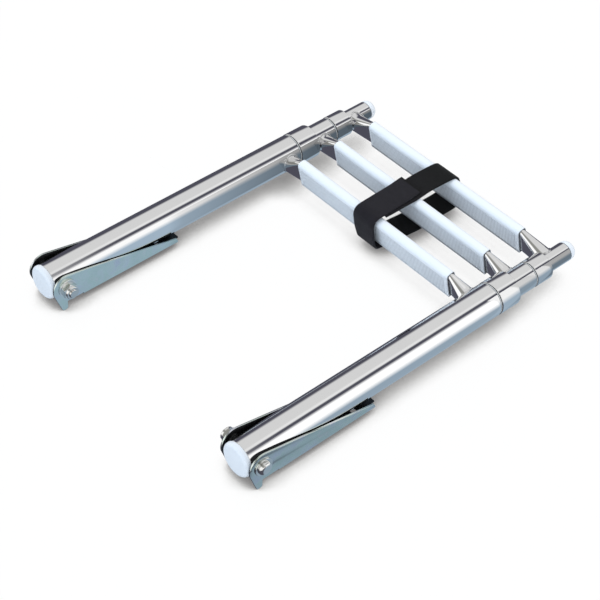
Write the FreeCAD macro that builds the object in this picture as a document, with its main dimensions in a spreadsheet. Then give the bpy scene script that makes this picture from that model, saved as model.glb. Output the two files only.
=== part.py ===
import FreeCAD, Part
import math
import os
import Sketcher

# Three-step telescopic boat ladder with stainless legs and swing-over brackets.
# Legs run along Y from the bracket end, steps along X, and Z points up as it lies stowed.
# Pieces are drawn from the cap faces and the leg axes, and then stand on the floor:
# the origin is on the floor below the middle of the stowed ladder.

SIZES = [
    ("Legs", None),
    ("leg_spacing", 315.0),
    ("outer_tube_diameter", 38.1),
    ("outer_tube_wall", 1.2),
    ("outer_tube_overhang", 4.0),
    ("middle_tube_wall", 1.2),
    ("middle_tube_overhang", 8.0),
    ("inner_tube_wall", 1.5),
    ("inner_tube_overhang", 12.5),
    ("Steps", None),
    ("first_step_distance", 330.0),
    ("step_pitch", 54.0),
    ("step_tube_diameter", 21.0),
    ("blade_height", 32.8),
    ("blade_thickness", 8.7),
    ("blade_rise", 2.8),
    ("step_lean", 13.0),
    ("tread_length", 236.0),
    ("tread_side_wall", 1.6),
    ("tread_end_wall", 1.0),
    ("tread_slot_clearance", 0.3),
    ("tread_edge_radius", 4.5),
    ("tread_groove_count", 12),
    ("tread_groove_pitch", 2.3),
    ("tread_groove_width", 0.8),
    ("tread_groove_depth", 0.5),
    ("Telescope", None),
    ("slide_travel", 250.0),
    ("bushing_wall", 2.85),
    ("bushing_length", 25.0),
    ("bushing_lip_length", 1.5),
    ("bushing_lip_width", 0.3),
    ("guide_length", 20.0),
    ("stop_gap", 1.0),
    ("running_clearance", 0.08),
    ("seat_gap", 0.05),
    ("collar_wall_growth", 0.3),
    ("collar_gap", 0.5),
    ("End pieces", None),
    ("cap_thickness", 6.0),
    ("cap_stem_length", 3.5),
    ("cap_edge_radius", 4.0),
    ("plug_dome_length", 10.0),
    ("plug_stem_length", 12.0),
    ("Brackets", None),
    ("pivot_distance", 17.0),
    ("nose_radius", 16.5),
    ("sheet_thickness", 2.0),
    ("channel_side_gap", 0.95),
    ("channel_floor_gap", 1.45),
    ("bracket_end", 165.0),
    ("ear_end_height", 7.5),
    ("ear_end_slant", 3.0),
    ("base_start", 37.5),
    ("bend_radius", 1.5),
    ("tab_start", 10.0),
    ("tab_width", 6.6),
    ("tab_drop", 7.0),
    ("tongue_width", 30.0),
    ("tongue_length", 4.0),
    ("screw_hole_diameter", 6.6),
    ("screw_spacing_across", 22.0),
    ("screw_spacing_along", 90.0),
    ("screw_first", 54.0),
    ("Pivots", None),
    ("bolt_diameter", 10.0),
    ("bolt_hole_clearance", 0.25),
    ("bush_wall", 1.5),
    ("bush_side_gap", 0.25),
    ("bolt_head_diameter", 15.5),
    ("bolt_head_height", 4.5),
    ("washer_diameter", 21.0),
    ("washer_thickness", 1.6),
    ("nut_across_corners", 18.5),
    ("nut_height", 9.5),
    ("nut_collar_height", 3.0),
    ("nut_collar_diameter", 15.2),
    ("bolt_end_length", 1.5),
    ("Strap", None),
    ("strap_width", 32.0),
    ("strap_centre", -3.0),
    ("strap_thickness", 2.4),
    ("strap_gap", 0.3),
    ("strap_slack", 1.0),
    ("strap_ease", 0.8),
]

doc = FreeCAD.newDocument("boat_ladder")
sheet = doc.addObject("Spreadsheet::Sheet", "sizes")
for row, (name, size) in enumerate(SIZES, start=1):
    sheet.set("A%d" % row, name)
    if size is not None:
        sheet.set("B%d" % row, str(size))
        sheet.setAlias("B%d" % row, name)
doc.recompute()

LEFT, RIGHT = -1, 1
SIDES = ((LEFT, "left"), (RIGHT, "right"))
TURN_Y_TO_X = FreeCAD.Rotation(FreeCAD.Vector(0, 0, 1), -90)
TURN_Z_TO_Y = FreeCAD.Rotation(FreeCAD.Vector(1, 0, 0), -90)


def number(text):
    """The present value of an expression in the sheet's names."""
    found = sheet.evalExpression(text)
    return float(getattr(found, "Value", found))


def term(text):
    """An expression with the sheet's name put before each of its own names."""
    out = ""
    word = ""
    for letter in text + " ":
        if letter.isalnum() or letter == "_":
            word += letter
            continue
        if any(word == name for name, size in SIZES if size is not None):
            word = "sizes." + word
        out += word + letter
        word = ""
    return out.strip()


def bind(item, settings):
    """Ties each property of an object to its expression."""
    for name, text in settings.items():
        item.setExpression(name, term(text))


def origin_plane(body, role):
    """One of the three base planes of a body, by its role."""
    return next(f for f in body.Origin.OriginFeatures if f.Role == role)


def new_body(label):
    """An empty body under its own label."""
    body = doc.addObject("PartDesign::Body", label)
    body.Label = label
    return body


def new_sketch(body, role):
    """An empty sketch on one of the body's own planes."""
    sketch = body.newObject("Sketcher::SketchObject", body.Label + "_sketch")
    sketch.AttachmentSupport = (origin_plane(body, role), [""])
    sketch.MapMode = "FlatFace"
    return sketch


def fix_point(sketch, geometry, position, across, up):
    """Holds one sketch point at two expressions."""
    for kind, text in (("DistanceX", across), ("DistanceY", up)):
        size = number(text)
        if text == "0":
            axis = -2 if kind == "DistanceX" else -1
            sketch.addConstraint(Sketcher.Constraint("PointOnObject", geometry, position, axis))
            continue
        index = sketch.addConstraint(Sketcher.Constraint(kind, -1, 1, geometry, position, size))
        sketch.setExpression("Constraints[%d]" % index, term(text))


def outline(body, role, points):
    """A closed sketch of straight lines through points given as expressions."""
    sketch = new_sketch(body, role)
    flat = [FreeCAD.Vector(number(across), number(up), 0) for across, up in points]
    count = len(points)
    for i in range(count):
        sketch.addGeometry(Part.LineSegment(flat[i], flat[(i + 1) % count]), False)
    for i in range(count):
        sketch.addConstraint(Sketcher.Constraint("Coincident", i, 2, (i + 1) % count, 1))
        fix_point(sketch, i, 1, *points[i])
    return sketch


def circles(body, role, centres, radius):
    """A sketch of equal circles at centres given as expressions."""
    sketch = new_sketch(body, role)
    for i, (across, up) in enumerate(centres):
        centre = FreeCAD.Vector(number(across), number(up), 0)
        sketch.addGeometry(Part.Circle(centre, FreeCAD.Vector(0, 0, 1), number(radius)), False)
        fix_point(sketch, i, 3, across, up)
        index = sketch.addConstraint(Sketcher.Constraint("Radius", i, number(radius)))
        sketch.setExpression("Constraints[%d]" % index, term(radius))
    return sketch


def add(body, kind, sketch, settings, **fixed):
    """Adds one sketch feature to a body and makes it the tip."""
    feature = body.newObject("PartDesign::" + kind, body.Label + "_" + kind.lower())
    feature.Profile = sketch
    for name, setting in fixed.items():
        setattr(feature, name, setting)
    bind(feature, settings)
    body.Tip = feature
    doc.recompute()
    return feature


def turned(label, points):
    """A body turned about the Y axis from (radius, distance along Y) points."""
    body = new_body(label)
    sketch = outline(body, "XY_Plane", points)
    add(body, "Revolution", sketch, {}, ReferenceAxis=(sketch, ["V_Axis"]), Angle=360)
    return body


def soften(body, kind, size, picked):
    """Fillets or chamfers the tip edges that the test picks."""
    tip = body.Tip
    names = []
    for i, edge in enumerate(tip.Shape.Edges, start=1):
        if picked(edge):
            names.append("Edge%d" % i)
    feature = body.newObject("PartDesign::" + kind, body.Label + "_" + kind.lower())
    feature.Base = (tip, names)
    bind(feature, {"Radius" if kind == "Fillet" else "Size": size})
    body.Tip = feature
    doc.recompute()
    return feature


def near(a, b):
    """True where two lengths agree to a hundredth of a millimetre."""
    return abs(a - b) < 0.01


def at_radius_and_station(radius, station):
    """Picks the round edge of that radius whose plane lies at that distance along Y."""
    wanted_radius = number(radius)
    wanted_station = number(station)

    def picked(edge):
        curve = edge.Curve
        if not isinstance(curve, Part.Circle):
            return False
        return near(curve.Radius, wanted_radius) and near(curve.Center.y, wanted_station)

    return picked


def place(item, across="0", along="0", up="0"):
    """Moves a piece to its place, with the floor and the ladder's middle as the origin."""
    bind(item, {
        "Placement.Base.x": across,
        "Placement.Base.y": "%s - %s" % (along, MIDDLE_OF_LADDER),
        "Placement.Base.z": "%s + %s" % (up, LEG_AXIS_HEIGHT),
    })


def stand_on_leg(item, side):
    """Moves a piece that is drawn round its leg's axis to that leg."""
    place(item, "%d * leg_spacing / 2" % side)


def ring_piece(label, side, outer, inner, start, end):
    """A plain tube on one leg between two distances along Y."""
    body = turned(label, [(inner, start), (outer, start), (outer, end), (inner, end)])
    stand_on_leg(body, side)
    return body


def cut_across(body, radius, station):
    """Drills through a leg piece along X at a distance along Y."""
    sketch = circles(body, "YZ_Plane", [(station, "0")], radius)
    add(body, "Pocket", sketch, {}, Type="ThroughAll", Midplane=True)


# Named expressions that several pieces share
OUTER_R = "outer_tube_diameter / 2"
OUTER_BORE = "(outer_tube_diameter / 2 - outer_tube_wall)"
MIDDLE_R = "(%s - bushing_wall)" % OUTER_BORE
MIDDLE_BORE = "(%s - middle_tube_wall)" % MIDDLE_R
INNER_R = "(%s - bushing_wall)" % MIDDLE_BORE
INNER_BORE = "(%s - inner_tube_wall)" % INNER_R
STEP_R = "step_tube_diameter / 2"
TREAD_HALF_THICKNESS = "(blade_thickness / 2 + tread_slot_clearance + tread_side_wall)"
TREAD_HALF_HEIGHT = "(blade_height / 2 + tread_slot_clearance + tread_end_wall)"
SECOND_STEP = "(first_step_distance + step_pitch)"
THIRD_STEP = "(first_step_distance + 2 * step_pitch)"
OUTER_TUBE_END = "(first_step_distance + %s + outer_tube_overhang)" % STEP_R
MIDDLE_TUBE_END = "(%s + %s + middle_tube_overhang)" % (SECOND_STEP, STEP_R)
INNER_TUBE_END = "(%s + %s + inner_tube_overhang)" % (THIRD_STEP, STEP_R)
LIP_END = "(%s + bushing_lip_length)" % OUTER_TUBE_END
MIDDLE_LIP_END = "(%s + bushing_lip_length)" % MIDDLE_TUBE_END
LEG_AXIS_HEIGHT = "(%s + channel_floor_gap + sheet_thickness + tab_drop)" % OUTER_R
MIDDLE_OF_LADDER = "((%s + plug_dome_length) / 2)" % INNER_TUBE_END
BUSH_R = "(bolt_diameter / 2 + running_clearance + bush_wall)"
EAR_INSIDE = "(outer_tube_diameter / 2 + channel_side_gap)"
EAR_OUTSIDE = "(outer_tube_diameter / 2 + channel_side_gap + sheet_thickness)"
FLOOR_TOP = "-(outer_tube_diameter / 2 + channel_floor_gap)"
FLOOR_BOTTOM = "-(outer_tube_diameter / 2 + channel_floor_gap + sheet_thickness)"


def make_upper_legs(side, name):
    """Outer tube, cap, pivot bush and end bushing of one leg."""
    tube = ring_piece("outer_tube_" + name, side, OUTER_R, OUTER_BORE, "cap_thickness", OUTER_TUBE_END)
    cut_across(tube, BUSH_R + " + seat_gap", "pivot_distance")
    cap = turned("top_cap_" + name, [
        ("0", "0"),
        (OUTER_R, "0"),
        (OUTER_R, "cap_thickness - seat_gap"),
        (OUTER_BORE + " - seat_gap", "cap_thickness - seat_gap"),
        (OUTER_BORE + " - seat_gap", "cap_thickness + cap_stem_length"),
        ("0", "cap_thickness + cap_stem_length"),
    ])
    soften(cap, "Fillet", "cap_edge_radius", at_radius_and_station(OUTER_R, "0"))
    stand_on_leg(cap, side)
    bush = turned("pivot_bush_" + name, [
        ("bolt_diameter / 2 + running_clearance", "-" + EAR_INSIDE + " + bush_side_gap"),
        (BUSH_R, "-" + EAR_INSIDE + " + bush_side_gap"),
        (BUSH_R, EAR_INSIDE + " - bush_side_gap"),
        ("bolt_diameter / 2 + running_clearance", EAR_INSIDE + " - bush_side_gap"),
    ])
    bush.Placement.Rotation = TURN_Y_TO_X
    place(bush, "%d * leg_spacing / 2" % side, "pivot_distance")
    make_bushing("outer_bushing_" + name, side, OUTER_R, OUTER_BORE, MIDDLE_R, OUTER_TUBE_END)


def make_bushing(label, side, tube_radius, bore, rod_radius, end):
    """A plastic guide ring in a tube's open end, with a thin lip that shows outside it."""
    body = turned(label, [
        (rod_radius + " + running_clearance", end + " - bushing_length"),
        (bore + " - seat_gap", end + " - bushing_length"),
        (bore + " - seat_gap", end + " + seat_gap"),
        (tube_radius + " - bushing_lip_width", end + " + seat_gap"),
        (tube_radius + " - bushing_lip_width", end + " + bushing_lip_length"),
        (rod_radius + " + running_clearance", end + " + bushing_lip_length"),
    ])
    stand_on_leg(body, side)


def guide_start(end):
    """Where a sliding section's inner end begins, so that its guide meets the bushing at full travel."""
    return "(" + end + " - bushing_length - slide_travel - stop_gap - guide_length)"


def make_guide(label, side, rod_radius, bore, end):
    """The guide ring on the hidden end of a sliding tube, which stops it at the bushing."""
    start = guide_start(end)
    ring_piece(label, side, bore + " - running_clearance", rod_radius + " + seat_gap", start,
               start + " + guide_length")


def make_middle_legs(side, name):
    """Middle tube with its guide, stop collar and end bushing."""
    start = guide_start(OUTER_TUBE_END)
    ring_piece("middle_tube_" + name, side, MIDDLE_R, MIDDLE_BORE, start, MIDDLE_TUBE_END)
    make_guide("middle_guide_" + name, side, MIDDLE_R, OUTER_BORE, OUTER_TUBE_END)
    ring_piece("middle_collar_" + name, side, OUTER_R + " + collar_wall_growth", MIDDLE_R + " + seat_gap",
               LIP_END + " + collar_gap", SECOND_STEP + " - " + STEP_R + " - collar_gap")
    make_bushing("middle_bushing_" + name, side, MIDDLE_R, MIDDLE_BORE, INNER_R, MIDDLE_TUBE_END)


def make_lower_legs(side, name):
    """Inner tube with its guide, stop collar and rounded end plug."""
    start = guide_start(MIDDLE_TUBE_END)
    ring_piece("inner_tube_" + name, side, INNER_R, INNER_BORE, start, INNER_TUBE_END)
    make_guide("inner_guide_" + name, side, INNER_R, MIDDLE_BORE, MIDDLE_TUBE_END)
    ring_piece("inner_collar_" + name, side, MIDDLE_R + " + collar_wall_growth", INNER_R + " + seat_gap",
               MIDDLE_LIP_END + " + collar_gap", THIRD_STEP + " - " + STEP_R + " - collar_gap")
    plug = turned("end_plug_" + name, [
        ("0", INNER_TUBE_END + " - plug_stem_length"),
        (INNER_BORE + " - seat_gap", INNER_TUBE_END + " - plug_stem_length"),
        (INNER_BORE + " - seat_gap", INNER_TUBE_END + " + seat_gap"),
        (INNER_R, INNER_TUBE_END + " + seat_gap"),
        (INNER_R, INNER_TUBE_END + " + plug_dome_length"),
        ("0", INNER_TUBE_END + " + plug_dome_length"),
    ])
    soften(plug, "Fillet", INNER_R + " * 0.72",
           at_radius_and_station(INNER_R, INNER_TUBE_END + " + plug_dome_length"))
    stand_on_leg(plug, side)


def blade_section(label, station, half_height, half_thickness, rise):
    """One upright ellipse across the step at a distance along X."""
    ring = doc.addObject("Part::Ellipse", label)
    ring.Placement = FreeCAD.Placement(FreeCAD.Vector(0, 0, 0), FreeCAD.Rotation(
        FreeCAD.Vector(0, 0, 1), FreeCAD.Vector(0, 1, 0), FreeCAD.Vector(1, 0, 0), "ZXY"))
    bind(ring, {"MajorRadius": half_height, "MinorRadius": half_thickness,
                "Placement.Base.x": station, "Placement.Base.z": rise})
    return ring


def make_step(number_in_row, leg_radius):
    """One step: a round tube pinched flat under a plastic tread, fitted round both legs."""
    name = "step_%d" % number_in_row
    axis_y = "(first_step_distance + %d * step_pitch)" % (number_in_row - 1)
    root = "(leg_spacing / 2 - %s)" % leg_radius
    stations = []
    for sign in ("-", ""):
        pinch = [(sign + "(tread_length / 2 + 1)", "blade_height / 2", "blade_thickness / 2", "blade_rise"),
                 (sign + root, STEP_R + " + 0.001", STEP_R, "0")]
        if sign == "-":
            pinch.reverse()
            stations.append((sign + "leg_spacing / 2", STEP_R + " + 0.001", STEP_R, "0"))
        stations.extend(pinch)
    stations.append(("leg_spacing / 2", STEP_R + " + 0.001", STEP_R, "0"))
    rings = []
    for i, station in enumerate(stations):
        rings.append(blade_section("%s_ring_%d" % (name, i), *station))
    blank = doc.addObject("Part::Loft", name + "_blank")
    blank.Sections = rings
    blank.Solid = True
    blank.Ruled = True
    lean_about_x(blank)
    bind(blank, {"Placement.Base.y": axis_y})
    legs = []
    for side, side_name in SIDES:
        leg = doc.addObject("Part::Cylinder", "%s_notch_%s" % (name, side_name))
        leg.Placement.Rotation = TURN_Z_TO_Y
        bind(leg, {"Radius": leg_radius + " + seat_gap", "Height": INNER_TUBE_END,
                   "Placement.Base.x": "%d * leg_spacing / 2" % side})
        legs.append(leg)
    both = doc.addObject("Part::MultiFuse", name + "_notches")
    both.Shapes = legs
    bar = doc.addObject("Part::Cut", name + "_bar")
    bar.Label = name + "_bar"
    bar.Base = blank
    bar.Tool = both
    place(bar)
    make_tread(name, axis_y)


def lean_about_x(item):
    """Leans a piece of a step about the step's own axis, its top towards the bracket end."""
    item.Placement.Rotation = FreeCAD.Rotation(FreeCAD.Vector(1, 0, 0), 1)
    bind(item, {"Placement.Rotation.Angle": "step_lean"})


def make_tread(name, axis_y):
    """The plastic tread: a flat standing face, a rounded back and top, and a slot for the blade."""
    body = new_body(name + "_tread")
    half = TREAD_HALF_THICKNESS
    bottom = "blade_rise - " + TREAD_HALF_HEIGHT
    top = "blade_rise + " + TREAD_HALF_HEIGHT
    profile = outline(body, "YZ_Plane", [("-" + half, bottom), (half, bottom), (half, top), ("-" + half, top)])
    add(body, "Pad", profile, {"Length": "tread_length"}, Midplane=True)
    slot_half = "(blade_thickness / 2 + tread_slot_clearance)"
    slot_low = "blade_rise - blade_height / 2 - tread_slot_clearance"
    slot_high = "blade_rise + blade_height / 2 + tread_slot_clearance"
    slot = outline(body, "YZ_Plane", [("-" + slot_half, slot_low), (slot_half, slot_low),
                                      (slot_half, slot_high), ("-" + slot_half, slot_high)])
    add(body, "Pocket", slot, {}, Type="ThroughAll", Midplane=True)
    slot_side = number(slot_half)
    slot_heights = (number(slot_low), number(slot_high))

    def slot_corner(edge):
        ends = [vertex.Point for vertex in edge.Vertexes]
        if len(ends) != 2 or near(ends[0].x, ends[1].x):
            return False
        beside = all(near(abs(end.y), slot_side) for end in ends)
        return beside and any(near(ends[0].z, height) for height in slot_heights)

    soften(body, "Fillet", slot_half + " * 0.85", slot_corner)

    def long_edge(front, upper):
        y = number(half) * (-1 if front else 1)
        z = number(top if upper else bottom)
        return lambda edge: len(edge.Vertexes) == 2 and all(
            near(v.Point.y, y) and near(v.Point.z, z) for v in edge.Vertexes)

    soften(body, "Fillet", "tread_edge_radius", long_edge(True, True))
    soften(body, "Fillet", "tread_edge_radius + 1", long_edge(False, True))
    soften(body, "Fillet", "tread_edge_radius", long_edge(False, False))
    soften(body, "Fillet", "tread_edge_radius / 3", long_edge(True, False))
    first_groove = bottom + " + tread_edge_radius / 3 + 1"
    groove = outline(body, "YZ_Plane", [
        ("-" + half + " - 1", first_groove),
        ("-" + half + " + tread_groove_depth", first_groove),
        ("-" + half + " + tread_groove_depth", first_groove + " + tread_groove_width"),
        ("-" + half + " - 1", first_groove + " + tread_groove_width"),
    ])
    cut = add(body, "Pocket", groove, {}, Type="ThroughAll", Midplane=True)
    rows = body.newObject("PartDesign::LinearPattern", name + "_grooves")
    rows.Originals = [cut]
    rows.Direction = (groove, ["V_Axis"])
    bind(rows, {"Length": "tread_groove_pitch * (tread_groove_count - 1)", "Occurrences": "tread_groove_count"})
    body.Tip = rows
    lean_about_x(body)
    place(body, "0", axis_y)


def bend_line(across, up):
    """Picks the long straight edges of the channel at that distance either side of the leg and that height."""
    wanted_x = number(across)
    wanted_z = number(up)
    shortest = number("bracket_end - base_start") / 2

    def picked(edge):
        ends = [vertex.Point for vertex in edge.Vertexes]
        if len(ends) != 2 or edge.Length < shortest:
            return False
        return all(near(abs(end.x), wanted_x) and near(end.z, wanted_z) for end in ends)

    return picked


def make_bracket(side, name):
    """A formed sheet channel with round ears, an open front, hooking tabs and a tongue."""
    body = new_body("bracket_" + name)
    width = "2 * " + EAR_OUTSIDE
    inner_width = "2 * " + EAR_INSIDE
    ear_top = FLOOR_BOTTOM + " + ear_end_height"
    bend_top = FLOOR_BOTTOM + " + bend_radius + sheet_thickness"
    trough = outline(body, "YZ_Plane", [
        ("base_start", FLOOR_BOTTOM),
        ("bracket_end", FLOOR_BOTTOM),
        ("bracket_end - ear_end_slant", ear_top),
        ("base_start", ear_top),
    ])
    add(body, "Pad", trough, {"Length": width}, Midplane=True)
    soften(body, "Fillet", "bend_radius + sheet_thickness", bend_line(EAR_OUTSIDE, FLOOR_BOTTOM))
    ear = outline(body, "YZ_Plane", [
        ("pivot_distance + nose_radius * 0.219", "nose_radius * 0.9757"),
        ("tab_start + tab_width / 2", "0"),
        ("tab_start + tab_width / 2", bend_top),
        ("base_start + 1", bend_top),
        ("bracket_end - ear_end_slant", ear_top),
    ])
    add(body, "Pad", ear, {"Length": width}, Midplane=True)
    nose = circles(body, "YZ_Plane", [("pivot_distance", "0")], "nose_radius")
    add(body, "Pad", nose, {"Length": width}, Midplane=True)
    tab = outline(body, "YZ_Plane", [
        ("tab_start", "0"),
        ("pivot_distance - nose_radius * 0.95", "-nose_radius * 0.31"),
        ("tab_start", FLOOR_BOTTOM + " - tab_drop"),
        ("tab_start + tab_width", FLOOR_BOTTOM + " - tab_drop"),
        ("tab_start + tab_width", "0"),
    ])
    add(body, "Pad", tab, {"Length": width}, Midplane=True)
    tip_z = number(FLOOR_BOTTOM + " - tab_drop")
    soften(body, "Fillet", "tab_width * 0.45",
           lambda edge: len(edge.Vertexes) == 2 and all(near(v.Point.z, tip_z) for v in edge.Vertexes)
           and near(edge.Vertexes[0].Point.y, edge.Vertexes[1].Point.y))
    tongue = outline(body, "XY_Plane", [
        ("-tongue_width / 2", "bracket_end - 10"),
        ("tongue_width / 2", "bracket_end - 10"),
        ("tongue_width / 2", "bracket_end + tongue_length"),
        ("-tongue_width / 2", "bracket_end + tongue_length"),
    ])
    bind(tongue, {"AttachmentOffset.Base.z": FLOOR_BOTTOM})
    add(body, "Pad", tongue, {"Length": "sheet_thickness"})
    channel = outline(body, "YZ_Plane", [
        ("-nose_radius", FLOOR_TOP),
        ("bracket_end + 1", FLOOR_TOP),
        ("bracket_end + 1", "2 * nose_radius"),
        ("-nose_radius", "2 * nose_radius"),
    ])
    add(body, "Pocket", channel, {"Length": inner_width}, Midplane=True)
    front = outline(body, "YZ_Plane", [
        ("-nose_radius", "2 * " + FLOOR_BOTTOM),
        ("base_start", "2 * " + FLOOR_BOTTOM),
        ("base_start", "2 * nose_radius"),
        ("-nose_radius", "2 * nose_radius"),
    ])
    add(body, "Pocket", front, {"Length": inner_width}, Midplane=True)
    soften(body, "Fillet", "bend_radius", bend_line(EAR_INSIDE, FLOOR_TOP))
    pivot = circles(body, "YZ_Plane", [("pivot_distance", "0")], "bolt_diameter / 2 + bolt_hole_clearance")
    add(body, "Pocket", pivot, {}, Type="ThroughAll", Midplane=True)
    centres = []
    for along in ("screw_first", "screw_first + screw_spacing_along"):
        for across in ("-screw_spacing_across / 2", "screw_spacing_across / 2"):
            centres.append((across, along))
    screws = circles(body, "XY_Plane", centres, "screw_hole_diameter / 2")
    add(body, "Pocket", screws, {}, Type="ThroughAll", Midplane=True)
    stand_on_leg(body, side)


def along_pivot(item, side):
    """Turns a piece built along Y to point outward from the ladder along X on one pivot."""
    item.Placement.Rotation = FreeCAD.Rotation(FreeCAD.Vector(0, 0, 1), -90 * side)
    place(item, "%d * leg_spacing / 2" % side, "pivot_distance")


def make_pivot(side, name):
    """The bolt through one leg's ears, with its head outside and its nut towards the other leg."""
    head_seat = EAR_OUTSIDE + " + washer_thickness"
    nut_seat = "-(" + EAR_OUTSIDE + " + washer_thickness)"
    shank_end = nut_seat + " - nut_height - bolt_end_length"
    bolt = turned("pivot_bolt_" + name, [
        ("0", shank_end),
        ("bolt_diameter / 2 - 1", shank_end),
        ("bolt_diameter / 2", shank_end + " + 1"),
        ("bolt_diameter / 2", head_seat),
        ("bolt_head_diameter / 2", head_seat),
        ("bolt_head_diameter / 2", head_seat + " + bolt_head_height"),
        ("0", head_seat + " + bolt_head_height"),
    ])
    soften(bolt, "Fillet", "bolt_head_height * 0.8",
           at_radius_and_station("bolt_head_diameter / 2", head_seat + " + bolt_head_height"))
    along_pivot(bolt, side)
    hole = "bolt_diameter / 2 + bolt_hole_clearance"
    for place, start in (("outer", EAR_OUTSIDE), ("inner", "-(" + EAR_OUTSIDE + " + washer_thickness)")):
        washer = turned("%s_washer_%s" % (place, name), [
            (hole, start), ("washer_diameter / 2", start),
            ("washer_diameter / 2", start + " + washer_thickness"), (hole, start + " + washer_thickness")])
        along_pivot(washer, side)
    nut = new_body("pivot_nut_" + name)
    corners = []
    for k in range(6):
        corners.append(("nut_across_corners / 2 * cos(%d)" % (60 * k), "nut_across_corners / 2 * sin(%d)" % (60 * k)))
    hexagon = outline(nut, "XZ_Plane", corners)
    bind(hexagon, {"AttachmentOffset.Base.z": "-(" + nut_seat + ")"})
    add(nut, "Pad", hexagon, {"Length": "nut_height - nut_collar_height"})
    collar = circles(nut, "XZ_Plane", [("0", "0")], "nut_collar_diameter / 2")
    bind(collar, {"AttachmentOffset.Base.z": "-(" + nut_seat + ")"})
    add(nut, "Pad", collar, {"Length": "nut_height"})
    bore = circles(nut, "XZ_Plane", [("0", "0")], "bolt_diameter / 2 + seat_gap")
    add(nut, "Pocket", bore, {}, Type="ThroughAll", Midplane=True)
    along_pivot(nut, side)


def make_strap():
    """The webbing strap round all three treads, as a flat closed loop."""
    body = new_body("strap")
    top = "blade_rise + %s + strap_gap" % TREAD_HALF_HEIGHT
    low = "blade_rise - %s - strap_slack" % TREAD_HALF_HEIGHT
    lean_reach = "%s * sin(step_lean)" % TREAD_HALF_HEIGHT
    near_y = "first_step_distance - %s - strap_gap - %s - strap_ease" % (TREAD_HALF_THICKNESS, lean_reach)
    far_y = "%s + %s + strap_gap + %s - strap_ease" % (THIRD_STEP, TREAD_HALF_THICKNESS, lean_reach)
    grow = "strap_thickness"
    outer = outline(body, "YZ_Plane", [
        ("%s - %s" % (near_y, grow), "%s - %s" % (low, grow)), ("%s + %s" % (far_y, grow), "%s - %s" % (low, grow)),
        ("%s + %s" % (far_y, grow), "%s + %s" % (top, grow)), ("%s - %s" % (near_y, grow), "%s + %s" % (top, grow))])
    add(body, "Pad", outer, {"Length": "strap_width"}, Midplane=True)
    soften(body, "Fillet", "strap_thickness * 2", lambda edge: near(edge.Length, number("strap_width")))
    inner = outline(body, "YZ_Plane", [(near_y, low), (far_y, low), (far_y, top), (near_y, top)])
    add(body, "Pocket", inner, {}, Type="ThroughAll", Midplane=True)
    place(body, "strap_centre")


for side, name in SIDES:
    make_bracket(side, name)
    make_pivot(side, name)
    make_upper_legs(side, name)
    make_middle_legs(side, name)
    make_lower_legs(side, name)
for number_in_row, leg_radius in ((1, OUTER_R), (2, MIDDLE_R), (3, INNER_R)):
    make_step(number_in_row, leg_radius)
make_strap()
doc.recompute()

for item in doc.Objects:
    if "Invalid" in item.State or "Error" in item.State:
        raise RuntimeError("%s did not build" % item.Label)

os.makedirs("parts", exist_ok=True)
for item in doc.Objects:
    is_body = item.TypeId == "PartDesign::Body"
    if not is_body and item.TypeId != "Part::Cut":
        continue
    if item.Shape.isNull() or not item.Shape.isValid():
        raise RuntimeError("%s has no valid shape" % item.Label)
    item.Shape.exportStep("parts/%s.step" % item.Label)
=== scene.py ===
"""Looks of a three-step telescopic boat ladder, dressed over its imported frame.

Shapes are worked out in millimetres in the row frame and become meshes in metres.
"""

import logging
import math
from abc import ABC, abstractmethod
from dataclasses import dataclass, field
from enum import Enum
from typing import Any, Sequence

import bmesh
import bpy
import numpy as np
from mathutils import Matrix, Vector


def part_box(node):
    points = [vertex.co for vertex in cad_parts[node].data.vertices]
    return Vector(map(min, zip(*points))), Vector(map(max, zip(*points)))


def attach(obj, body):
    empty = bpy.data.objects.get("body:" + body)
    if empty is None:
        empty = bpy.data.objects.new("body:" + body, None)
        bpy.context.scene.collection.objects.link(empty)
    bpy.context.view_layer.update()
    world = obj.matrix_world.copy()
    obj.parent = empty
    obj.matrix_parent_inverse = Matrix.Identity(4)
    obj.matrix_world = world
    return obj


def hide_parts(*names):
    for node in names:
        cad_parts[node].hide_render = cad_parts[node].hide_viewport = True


LOG = logging.getLogger("boat_ladder")
MM = 0.001
TURN = 2 * math.pi
MARKS = "marks"
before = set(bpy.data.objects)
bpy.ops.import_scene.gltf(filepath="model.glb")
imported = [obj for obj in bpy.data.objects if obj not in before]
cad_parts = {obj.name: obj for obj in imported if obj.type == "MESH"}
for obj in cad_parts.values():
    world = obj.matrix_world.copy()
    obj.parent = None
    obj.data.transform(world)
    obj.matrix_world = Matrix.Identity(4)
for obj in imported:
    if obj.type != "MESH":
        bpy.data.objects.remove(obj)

Colour = tuple[float, float, float]
Stop = tuple[float, Colour]
Panel = tuple[float, float, Colour]
Point2 = tuple[float, float]
Array = np.ndarray


class Group(Enum):
    """The bodies that pieces ride on."""

    BRACKETS = "brackets"
    UPPER = "upper"
    MIDDLE = "middle"
    LOWER = "lower"


class Side(Enum):
    """The two legs, by the sign of their X."""

    LEFT = -1
    RIGHT = 1

    @property
    def word(self) -> str:
        """The side's name as the nodes carry it."""
        return self.name.lower()


class Axis(Enum):
    """The direction that a turned piece is turned about."""

    X = 0
    Y = 1


# Shader helpers


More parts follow.
